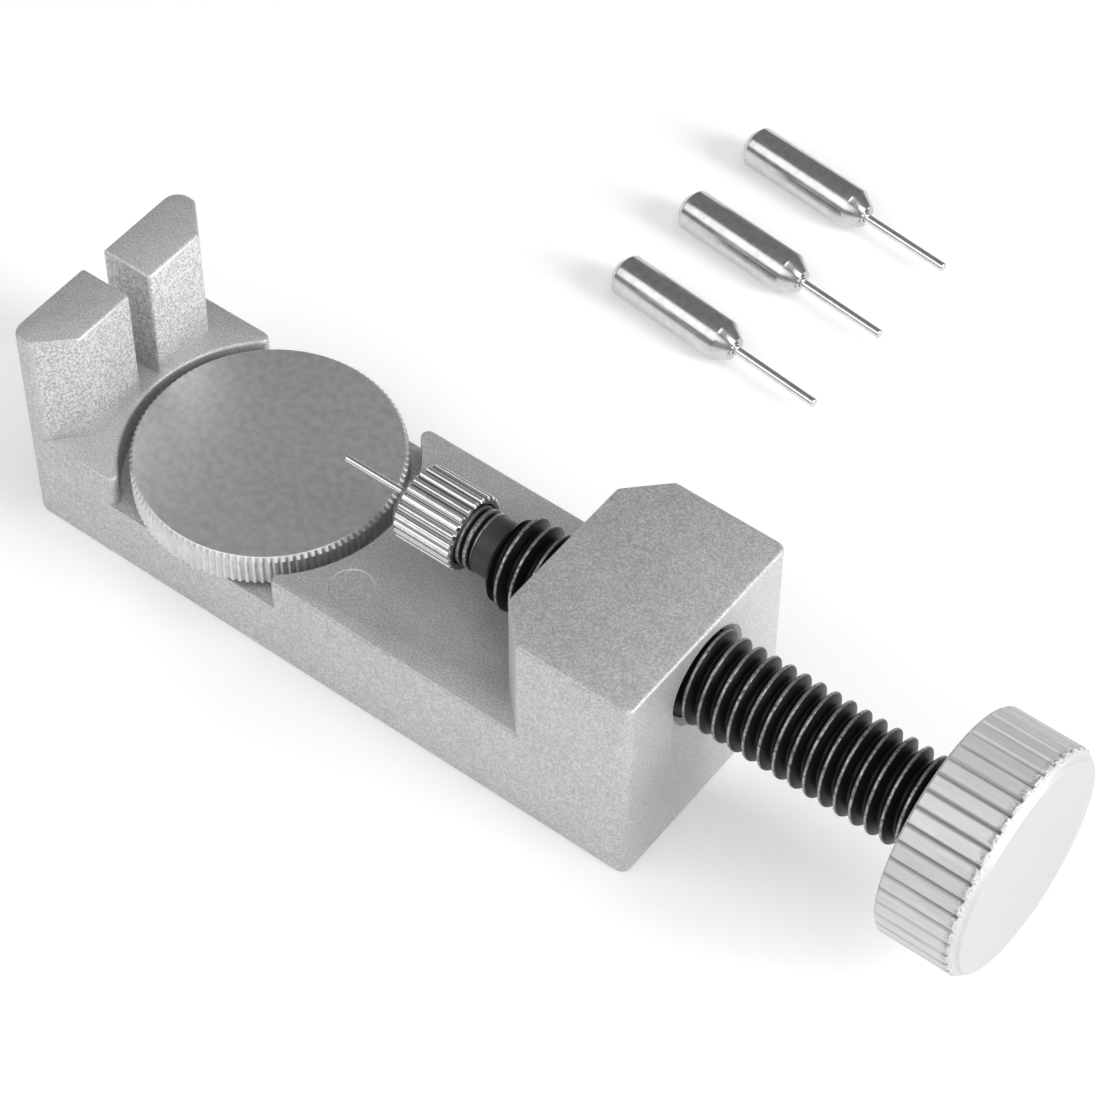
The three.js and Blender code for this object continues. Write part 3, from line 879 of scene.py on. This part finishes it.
@dataclass
class Casting:
    """The bed, the tower that the screw feeds through and the slotted fork, cast in one."""

    layout: Layout
    bed_height: float = 12 * MM
    tower: float = 17 * MM
    tower_chamfer: float = 4 * MM
    tower_corner: float = 1 * MM
    tower_height: float = 25.9 * MM
    fork: float = 6.2 * MM
    fork_chamfer: float = 3.5 * MM
    fork_corner: float = 1.8 * MM
    slot: float = 2.9 * MM
    edge: float = 0.36 * MM
    pocket_corner: float = 0.8 * MM
    pocket_radius: float = 15.3 * MM
    pocket_floor: float = 8.1 * MM
    recess_radius: float = 5.4 * MM
    recess_top: float = 3.4 * MM
    bore_flare: float = 0.6 * MM
    flare_sides: int = 95  # shares no facet with the tap's, which would spoil the cut
    mark: Vector = field(default_factory=lambda: Vector((1.3, -8.1, 0)) * MM)
    mark_radius: float = 2.35 * MM
    mark_depth: float = 0.14 * MM
    reach: float = 2 * MM
    sharp: float = 28.0
    finish: CastAlloy = field(default_factory=CastAlloy)

    @property
    def tower_inner(self) -> float:
        """Where the tower's inner face stands."""
        return self.layout.bed_high.x - self.tower

    @property
    def fork_inner(self) -> float:
        """Where the fork's inner face stands."""
        return self.layout.bed_low.x + self.fork

    def build(self) -> None:
        """Models the casting and dresses it."""
        casting = self._block()
        self._open_channel(casting)
        self._cut_pocket(casting)
        self._ease_edges(casting)
        self._cut_bores(casting)
        stand_in(casting, "cast_frame", self.finish.material())

    def _block(self) -> Workpiece:
        """Returns a block that holds the whole casting, with its outer corners rounded."""
        low, high = self.layout.bed_low, self.layout.bed_high

        def upright(x: float) -> Test:
            return lambda spot, along: abs(along.z) > 0.9 and abs(spot.x - x) < TINY

        bpy.ops.object.select_all(action="DESELECT")
        bpy.ops.mesh.primitive_cube_add(size=1, location=(0, 0, 0))
        casting = Workpiece("cast_bed_tower_fork")
        with casting.editing():
            bpy.ops.mesh.select_all(action="SELECT")
            bpy.ops.transform.resize(value=high - low, center_override=(0, 0, 0))
            bpy.ops.transform.translate(value=(low + high) / 2)
            for x, radius, segments in ((high.x, self.tower_corner, 5), (low.x, self.fork_corner, 7)):
                casting.choose(Pick.EDGES, upright(x))
                bpy.ops.mesh.bevel(offset=radius, segments=segments, affect="EDGES", clamp_overlap=False)
        return casting

    def _channel_outline(self) -> list[Vector]:
        """Returns the plan of the room between the tower and the fork, with their chamfers and the slot."""
        side, past = self.layout.bed_high.y, self.reach
        fork, tower = self.fork_inner, self.tower_inner
        half = [
            Vector((self.layout.bed_low.x - past, self.slot / 2, 0)),
            Vector((fork, self.slot / 2, 0)),
            Vector((fork, side - self.fork_chamfer, 0)),
            Vector((fork - self.fork_chamfer - past, side + past, 0)),
            Vector((tower + self.tower_chamfer + past, side + past, 0)),
            Vector((tower, side - self.tower_chamfer, 0)),
        ]
        return half + [Vector((v.x, -v.y, 0)) for v in reversed(half)]

    def _open_channel(self, casting: Workpiece) -> None:
        """Cuts the room between the tower and the fork down to the bed, and lowers the tower's top."""
        top = self.layout.bed_high.z
        channel = extruded("channel", self._channel_outline(), self.bed_height, top + self.reach)
        casting.combine(channel, Cut.AWAY)
        with casting.editing():
            casting.choose(Pick.VERTICES, lambda spot, _: spot.x > 0 and abs(spot.z - top) < TINY)
            bpy.ops.transform.translate(value=(0, 0, self.tower_height - top))

    def _pocket_outline(self) -> list[Vector]:
        """Returns the pocket's plan: a circle open through both sides, with its four corners rounded."""
        side, corner = self.layout.bed_high.y, self.pocket_corner
        reach = math.sqrt((self.pocket_radius + corner) ** 2 - (side - corner) ** 2)
        meets = math.atan2(side - corner, reach)
        steps = 8
        quarter = []
        for i in range(2 * steps):
            angle = meets * i / (2 * steps)
            x, y = self.pocket_radius * math.cos(angle), self.pocket_radius * math.sin(angle)
            quarter.append(Vector((x, y, 0)))
        centre = Vector((reach, side - corner, 0))
        sweep = meets + HALF_TURN
        for i in range(steps + 1):
            angle = sweep + (QUARTER_TURN - sweep) * i / steps
            quarter.append(centre + corner * Vector((math.cos(angle), math.sin(angle), 0)))
        quarter.append(Vector((reach, side + self.reach, 0)))
        right = [Vector((v.x, -v.y, 0)) for v in quarter[:0:-1]] + quarter
        outline = right + [Vector((-v.x, -v.y, 0)) for v in right]
        return [v + self.layout.disc_axis for v in outline]

    def _cut_pocket(self, casting: Workpiece) -> None:
        """Sinks the disc's pocket."""
        top = self.bed_height + self.reach
        pocket = extruded("pocket", self._pocket_outline(), self.pocket_floor, top)
        casting.combine(pocket, Cut.AWAY)

    def _ease_edges(self, casting: Workpiece) -> None:
        """Rounds the outside edges, as a casting's are, apart from those of the pocket's floor."""

        def eased(spot: Vector, bend: float) -> bool:
            return bend > self.sharp and abs(spot.z - self.pocket_floor) > TINY

        casting.weld()
        with casting.editing():
            casting.choose_bends(eased)
            bpy.ops.mesh.bevel(offset=self.edge, segments=3, affect="EDGES", clamp_overlap=False)

    def _cut_bores(self, casting: Workpiece) -> None:
        """Taps the screw's bore and the stem's, and cuts the recess and the ejector pin's mark."""
        along_screw, along_disc = self.layout.along_screw, self.layout.along_disc
        outer = self.layout.bed_high.x
        tapped = FEED_THREAD.opened(*TAP_PLAY)
        bore = tapped.bar("screw_tap", self.tower_inner - self.reach, outer + self.reach, 48)
        mouth, waist = FEED_THREAD.major + self.bore_flare, FEED_THREAD.root
        taper = mouth - waist
        past = self.bore_flare
        flare = [
            (mouth + past, self.tower_inner - past),
            (waist, self.tower_inner + taper),
            (waist, outer - taper),
            (mouth + past, outer + past),
        ]
        bore.combine(turned("flare", flare, self.flare_sides), Cut.JOIN)
        bore.lay(along_screw)
        casting.combine(bore, Cut.AWAY)

        tapped = STEM_THREAD.opened(*TAP_PLAY)
        hole = tapped.bar("stem_tap", self.recess_top - self.edge, self.pocket_floor + self.edge, 32)
        recess = [
            (self.recess_radius + 2 * self.edge, -self.edge),
            (self.recess_radius, self.edge),
            (self.recess_radius, self.recess_top),
        ]
        hole.combine(turned("recess", recess, 64), Cut.JOIN)
        hole.lay(along_disc)
        casting.combine(hole, Cut.AWAY)

        deep = self.bed_height - self.mark_depth
        rim = [
            (self.mark_radius - self.mark_depth, deep),
            (self.mark_radius + self.mark_depth, self.bed_height + self.mark_depth),
        ]
        mark = turned("ejector_mark", rim, 48)
        mark.lay(Spot(self.mark))
        casting.combine(mark, Cut.AWAY)


# ------------------------------------------------------------------------------------------ height disc


@dataclass
class HeightDisc:
    """The knurled disc that the bracelet lies on, its threaded stem and the ring that keeps the stem in."""

    layout: Layout
    knurls: Flutes = field(
        default_factory=lambda: Flutes(118, (0.26 * MM, 0.15 * MM, 0.0, 0.0, 0.0, 0.15 * MM))
    )
    rim_chamfer: float = 0.45 * MM
    stem_head: float = 10.7 * MM
    stem_foot: float = 0.5 * MM
    groove_radius: float = 2.1 * MM
    ring_low: float = 1.1 * MM
    ring_high: float = 1.9 * MM
    ring_bore: float = 2.4 * MM
    ring_outer: float = 4.4 * MM
    ring_opening: float = 2.4 * MM
    ring_play: float = 0.2 * MM
    ring_edge: float = 0.1 * MM
    fit: float = 0.3 * MM

    def build(self) -> None:
        """Models the disc, the stem and the ring, and dresses them."""
        self._disc()
        self._stem()
        self._ring()

    def _disc(self) -> None:
        """Makes the disc, with a blind socket for its stem."""
        low, high = self.layout.disc_low.z, self.layout.disc_high.z
        radius = (self.layout.disc_high.x - self.layout.disc_low.x) / 2
        socket = STEM_THREAD.major + self.fit
        chamfer = self.rim_chamfer
        profile = [
            (socket, self.stem_head + self.fit),
            (socket, low),
            (radius - 2 * chamfer, low),
            (radius - chamfer, low + chamfer / 4),
            (radius, low + chamfer),
            (radius, high - chamfer),
            (radius - chamfer * 0.8, high - chamfer / 8),
            (radius - chamfer, high),
        ]
        disc = turned("knurled_height_disc", profile, self.knurls.sides)
        self.knurls.press(disc, radius, low, high)
        disc.lay(self.layout.along_disc)
        satin = TurnedMetal(
            "satin_disc_steel",
            (0.73, 0.73, 0.735),
            0.44,
            self.layout.disc_axis,
            axis=2,
            ring=0.3 * MM,
            ring_depth=0.0012 * MM,
        )
        stand_in(disc, "height_disc", satin.material())

    def _stem(self) -> None:
        """Makes the stem: a thread between the disc's socket and the grooved foot."""
        low = self.layout.disc_low.z
        groove_low, groove_high = self.ring_low - self.ring_play, self.ring_high + self.ring_play
        major, ease = STEM_THREAD.major, 0.15 * MM
        core = [
            (major - ease, self.stem_foot),
            (major, self.stem_foot + ease),
            (major, groove_low),
            (self.groove_radius, groove_low),
            (self.groove_radius, low - ease),
            (major, low - ease),
            (major, self.stem_head - ease),
            (major - ease, self.stem_head),
        ]
        stem = turned("disc_lift_stem", core, 64)
        stem.combine(STEM_THREAD.length("stem_thread", groove_high, low + self.fit, 48), Cut.JOIN)
        stem.lay(self.layout.along_disc)
        steel = TurnedMetal("stem_steel", (0.62, 0.62, 0.63), 0.26, self.layout.disc_axis, axis=2)
        stand_in(stem, "disc_stem", steel.material())

    def _ring(self) -> None:
        """Makes the open ring: its section is spun round the stem, short of a full turn."""
        middle = (self.ring_bore + self.ring_outer) / 2
        gap = self.ring_opening / middle
        bpy.ops.object.select_all(action="DESELECT")
        bpy.ops.mesh.primitive_plane_add(size=1, location=(0, 0, 0), rotation=(QUARTER_TURN, 0, 0))
        ring = Workpiece("stem_retaining_ring")
        with ring.editing():
            bpy.ops.mesh.select_all(action="SELECT")
            size = (self.ring_outer - self.ring_bore, 1, self.ring_high - self.ring_low)
            bpy.ops.transform.resize(value=size, center_override=(0, 0, 0))
            bpy.ops.transform.translate(value=(middle, 0, (self.ring_low + self.ring_high) / 2))
            bpy.ops.mesh.spin(
                steps=56, angle=FULL_TURN - gap, center=(0, 0, 0), axis=(0, 0, 1), use_auto_merge=False
            )
        ring.weld()
        ring.take()
        bpy.ops.object.modifier_add(type="BEVEL")
        modifier = ring.body.modifiers[-1]
        modifier.width = self.ring_edge
        modifier.segments = 2
        bpy.ops.object.modifier_apply(modifier=modifier.name)
        ring.lay(Spot(self.layout.disc_axis, heading=gap / 2))
        steel = TurnedMetal("spring_steel", (0.36, 0.37, 0.38), 0.4, self.layout.disc_axis, axis=2)
        stand_in(ring, "stem_ring", steel.material())


# ------------------------------------------------------------------------------------------ feed screw


@dataclass
class FeedScrew:
    """The black feed screw, its knob and the chuck nut on its nose."""

    layout: Layout
    nose: float = 5.75 * MM
    nose_thread_end: float = 12.55 * MM
    neck_radius: float = 3.1 * MM
    thread_start: float = 14.6 * MM
    shoulder: float = 64.4 * MM
    tail_radius: float = 3 * MM
    tail_end: float = 70.2 * MM
    socket_radius: float = 2.6 * MM
    socket_end: float = 21.15 * MM
    fit: float = 0.3 * MM
    knurls: Flutes = field(
        default_factory=lambda: Flutes(
            42, (0.45 * MM, 0.36 * MM, 0.1 * MM) + (0.0,) * 13 + (0.1 * MM, 0.36 * MM)
        )
    )
    knob_chamfer: float = 0.85 * MM
    knob_plain: float = 0.95 * MM
    knob_bore: float = 5.8 * MM
    flutes: Flutes = field(
        default_factory=lambda: Flutes(
            24,
            (0.25 * MM, 0.25 * MM, 0.22 * MM, 0.14 * MM, 0.06 * MM, 0.02 * MM)
            + (0.0,) * 5
            + (0.02 * MM, 0.06 * MM, 0.14 * MM, 0.22 * MM, 0.25 * MM),
        )
    )
    nut_chamfer: float = 0.9 * MM
    nut_hole: float = 0.8 * MM
    nut_front: float = 1.1 * MM
    nut_cone_end: float = 2.8 * MM
    nut_bore: float = 3.32 * MM

    def build(self) -> None:
        """Models the screw, the knob and the nut, and dresses them."""
        self._screw()
        self._knob()
        self._nut()

    def _screw(self) -> None:
        """Makes the screw, bored at its nose for a pin unit."""
        screw = FEED_THREAD.length("threaded_feed_screw", self.thread_start, self.shoulder, 72)
        overlap = 0.3 * MM
        neck = [
            (self.neck_radius, self.nose_thread_end - overlap),
            (self.neck_radius, self.thread_start - 0.1 * MM),
            (FEED_THREAD.root - 0.1 * MM, self.thread_start + overlap),
            (FEED_THREAD.root - 0.1 * MM, self.thread_start + 2 * overlap),
        ]
        ease = 0.3 * MM
        tail = [
            (self.tail_radius, self.shoulder - overlap),
            (self.tail_radius, self.tail_end - ease),
            (self.tail_radius - ease, self.tail_end),
        ]
        screw.combine(turned("neck", neck, 72), Cut.JOIN)
        screw.combine(turned("tail", tail, 48), Cut.JOIN)
        screw.combine(NOSE_THREAD.length("nose_thread", self.nose, self.nose_thread_end, 56), Cut.JOIN)
        socket = [(self.socket_radius, self.nose - MM), (self.socket_radius, self.socket_end)]
        screw.combine(turned("pin_socket", socket, 48), Cut.AWAY)
        screw.lay(self.layout.along_screw)
        # The oxide paints a grey sheen along the neck.
        oxide = BlackOxide(self.layout.screw_axis, FEED_THREAD.major, NOSE_THREAD.major, self.neck_radius)
        stand_in(screw, "feed_screw", oxide.material(), angle=24)

    def _knob(self) -> None:
        """Makes the knob, whose straight knurl runs out short of the outer face."""
        low, high = self.layout.knob_low, self.layout.knob_high
        radius = (high.z - low.z) / 2
        inner, outer = low.x, high.x
        bore = self.tail_radius + self.fit
        knurl_end = outer - self.knob_plain
        profile = [
            (bore, inner + self.knob_bore),
            (bore, inner),
            (radius - 0.9 * MM, inner),
            (radius - 0.3 * MM, inner + 0.06 * MM),
            (radius, inner + 0.34 * MM),
            (radius, knurl_end - 0.25 * MM),
            (radius, knurl_end),
            (radius - 0.15 * MM, knurl_end + 0.2 * MM),
            (radius - self.knob_chamfer + 0.2 * MM, outer - 0.12 * MM),
            (radius - self.knob_chamfer, outer),
        ]
        knob = turned("knurled_thumb_knob", profile, self.knurls.sides)
        self.knurls.press(knob, radius, inner, knurl_end)
        knob.lay(self.layout.along_screw)
        # The knob's finish paints shade into its grooves and over its outer face.
        alloy = KnobAlloy(self.layout.screw_axis, radius, knurl_end)
        stand_in(knob, "knob", alloy.material())

    def _nut(self) -> None:
        """Makes the fluted chuck nut, open at both ends."""
        low, high = self.layout.nut_low, self.layout.nut_high
        radius = (high.z - low.z) / 2
        front, rear = low.x, high.x
        ease = 0.12 * MM
        profile = [
            (self.nut_hole, front),
            (self.nut_hole, front + self.nut_front),
            (self.nut_hole + 0.7 * MM, front + self.nut_front),
            (PIN_RADIUS + self.fit, front + self.nut_cone_end),
            (self.nut_bore, front + self.nut_cone_end),
            (self.nut_bore, rear - ease),
            (self.nut_bore + ease, rear),
            (radius - 0.3 * MM, rear),
            (radius, rear - 0.2 * MM),
            (radius, front + self.nut_chamfer),
            (radius - self.nut_chamfer, front + 0.06 * MM),
            (radius - self.nut_chamfer - ease, front),
        ]
        nut = turned("fluted_chuck_nut", profile, self.flutes.sides, ring=True)
        self.flutes.press(nut, radius, front, rear)
        nut.lay(self.layout.along_screw)
        chrome = TurnedMetal(
            "bright_chrome",
            (0.88, 0.885, 0.90),
            0.2,
            self.layout.screw_axis,
            ring=0.2 * MM,
            ring_depth=0.0006 * MM,
            # The chrome gets painted shade in the bottoms of the flutes.
            groove_foot=radius - 0.2 * MM,
            groove_top=radius - 0.08 * MM,
        )
        stand_in(nut, "chuck_nut", chrome.material())


# ------------------------------------------------------------------------------------------ pin units


@dataclass
class PinUnit:
    """A steel plug with a needle set in its nose. Each lies with its nose towards its own -Z."""

    needle_radius: float
    reach: float
    finish: TurnedMetal
    needle_finish: TurnedMetal
    length: float = 16.8 * MM
    nose_radius: float = 1.2 * MM
    nose_length: float = 1.7 * MM
    rear_chamfer: float = 0.9 * MM
    seat: float = 3 * MM
    ease: float = 0.1 * MM

    def build(self, name: str, spots: Sequence[tuple[Spot, str, str]]) -> None:
        """Models one unit and copies it to each place.

        Args:
            name: What this kind of unit is called.
            spots: The nose's place, and the plug's and the needle's nodes.
        """
        plug, needle = self._plug(name + "_plug"), self._needle(name + "_needle")
        materials = self.finish.material(), self.needle_finish.material()
        for i, (spot, plug_node, needle_node) in enumerate(spots, start=1):
            placed = [(plug, plug_node, "turned_steel"), (needle, needle_node, "needle_steel")]
            for (master, node, slot), material in zip(placed, materials):
                piece = master.copy(f"{master.body.name}_{i}")
                piece.lay(spot)
                stand_in(piece, node, material)
        plug.discard()
        needle.discard()

    def _plug(self, name: str) -> Workpiece:
        """Turns the plug, with a shallow lip round the needle's hole."""
        hole = self.needle_radius + 0.06 * MM
        rear = self.length
        profile = [
            (hole, self.seat),
            (hole, 0.05 * MM),
            (hole + 0.05 * MM, 0.0),
            (hole + 0.2 * MM, 0.0),
            (hole + 0.26 * MM, 0.08 * MM),
            (hole + 0.3 * MM, 0.3 * MM),
            (hole + 0.42 * MM, 0.3 * MM),
            (self.nose_radius + 0.1 * MM, 0.12 * MM),
            (self.nose_radius + 0.2 * MM, 0.22 * MM),
            (PIN_RADIUS - self.ease, self.nose_length - self.ease / 2),
            (PIN_RADIUS - self.ease / 4, self.nose_length + self.ease),
            (PIN_RADIUS, self.nose_length + 2 * self.ease),
            (PIN_RADIUS, rear - self.rear_chamfer - self.ease),
            (PIN_RADIUS - self.ease / 3, rear - self.rear_chamfer),
            (PIN_RADIUS - self.rear_chamfer, rear - self.ease),
            (PIN_RADIUS - self.rear_chamfer - self.ease, rear),
        ]
        return turned(name, profile, 72)

    def _needle(self, name: str) -> Workpiece:
        """Turns the needle, with its end edge just broken."""
        radius, broken = self.needle_radius, 0.06 * MM
        profile = [
            (radius - broken, -self.reach),
            (radius, -self.reach + broken),
            (radius, self.seat - 2 * broken),
            (radius - broken, self.seat - broken),
        ]
        return turned(name, profile, 40)


@dataclass
class PinSet:
    """The unit that is mounted in the chuck, and the three spares on the bench."""

    layout: Layout
    mounted_radius: float = 0.35 * MM
    spare_radius: float = 0.5 * MM
    spare_reach: float = 11 * MM
    spare_turn: float = math.radians(-6)
    spare_count: int = 3

    def build(self) -> None:
        """Models both kinds of unit and dresses them."""
        axis = self.layout.screw_axis
        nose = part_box("pin_plug")[0].x
        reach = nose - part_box("pin_needle")[0].x
        steel = TurnedMetal("plug_steel", (0.64, 0.64, 0.65), 0.17, axis)
        bright = TurnedMetal("needle_steel_bright", (0.76, 0.765, 0.78), 0.16, axis, ring=0.08 * MM)
        mounted = Spot(Vector((nose, 0, axis.z)), tilt=QUARTER_TURN)
        unit = PinUnit(self.mounted_radius, reach, steel, bright)
        unit.build("mounted_pin", [(mounted, "pin_plug", "pin_needle")])

        spots = []
        for i in range(1, self.spare_count + 1):
            plug, needle = f"spare_pin_plug_{i}", f"spare_pin_needle_{i}"
            spots.append((self._spare_spot(plug, needle), plug, needle))
        unit = PinUnit(self.spare_radius, self.spare_reach, steel, bright)
        unit.build("bench_pin", spots)

    def _spare_spot(self, plug: str, needle: str) -> Spot:
        """Returns where a spare's nose is, from its boxes and the turn that all three share."""
        plug_low, plug_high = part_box(plug)
        needle_low, needle_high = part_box(needle)
        forward = Vector((math.cos(self.spare_turn), math.sin(self.spare_turn), 0))
        across = abs(forward.y) * self.spare_radius
        beside = abs(forward.x) * self.spare_radius
        height = (plug_low.z + plug_high.z) / 2
        tip = Vector((needle_high.x - across, needle_low.y + beside, height))
        return Spot(tip - forward * self.spare_reach, tilt=-QUARTER_TURN, heading=self.spare_turn)


# ------------------------------------------------------------------------------------------ studio


@dataclass
class Studio:
    """A pale floor, soft lights and the camera."""

    eye: Vector = field(default_factory=lambda: Vector((150.7, -172.7, 293.6)) * MM)
    target: Vector = field(default_factory=lambda: Vector((12.85, 8.68, 10.0)) * MM)
    roll: float = math.radians(0.213)
    focal_mm: float = 120.04
    sensor_mm: float = 36.0
    floor_size: float = 6.0
    floor_height: float = -0.02 * MM
    floor_colour: Colour = (0.93, 0.93, 0.93)
    sky: Colour = (0.23, 0.235, 0.24)

    def build(self) -> None:
        """Sets up the floor, the lights, the surroundings and the camera."""
        self._floor()
        self._lights()
        self._surroundings()
        self._camera()
        bpy.context.scene.view_settings.view_transform = "Standard"

    def _floor(self) -> None:
        """Lays the floor."""
        bpy.ops.object.select_all(action="DESELECT")
        bpy.ops.mesh.primitive_plane_add(size=self.floor_size, location=(0, 0, self.floor_height))
        floor = bpy.context.active_object
        floor.name = "pale_floor"
        recipe = Recipe("pale_floor")
        mottle = recipe.noise(0.4)
        low = tuple(0.995 * part for part in self.floor_colour)
        paint = recipe.finish(
            Base_Color=recipe.blend(low, self.floor_colour, mottle),
            Roughness=0.8,
            Emission_Color=(1, 1, 1, 1),
            Emission_Strength=0.16,
        )
        floor.data.materials.append(paint)

    def _lights(self) -> None:
        """Hangs the soft lights: name, place, width, depth and power."""
        lights = [
            ("front_softbox", Vector((-0.10, -0.55, 0.62)), 1.8, 0.62, 5.0),
            ("overhead_fill", Vector((0.25, 0.0, 0.95)), 0.5, 0.5, 1.6),
            ("side_strip", Vector((0.75, 0.15, 0.30)), 0.3, 0.6, 6.5),
        ]
        aim = Vector((0.02, 0.01, 0.01))
        for name, place, width, depth, power in lights:
            bpy.ops.object.light_add(type="AREA", location=place)
            lamp = bpy.context.active_object
            lamp.name = name
            lamp.rotation_euler = (aim - place).to_track_quat("-Z", "Y").to_euler()
            lamp.data.shape = "RECTANGLE"
            lamp.data.size = width
            lamp.data.size_y = depth
            lamp.data.energy = power

    def _surroundings(self) -> None:
        """Fills the room with an even grey."""
        world = bpy.data.worlds.new("studio_room")
        world.use_nodes = True
        background = world.node_tree.nodes["Background"]
        background.inputs["Color"].default_value = (*self.sky, 1)
        background.inputs["Strength"].default_value = 1.0
        bpy.context.scene.world = world

    def _camera(self) -> None:
        """Stands the camera."""
        bpy.ops.object.camera_add(location=self.eye)
        camera = bpy.context.active_object
        aim = (self.target - self.eye).to_track_quat("-Z", "Y").to_matrix().to_4x4()
        camera.matrix_world = Matrix.Translation(self.eye) @ aim @ Matrix.Rotation(self.roll, 4, "Z")
        camera.data.sensor_width = self.sensor_mm
        camera.data.lens = self.focal_mm
        camera.data.clip_start = 0.01
        bpy.context.scene.camera = camera


def main() -> None:
    """Builds the press and the studio round it."""
    logging.basicConfig(level=logging.INFO, format="%(name)s: %(message)s")
    layout = Layout()
    Casting(layout).build()
    HeightDisc(layout).build()
    FeedScrew(layout).build()
    PinSet(layout).build()
    Studio().build()


if __name__ == "__main__":
    main()
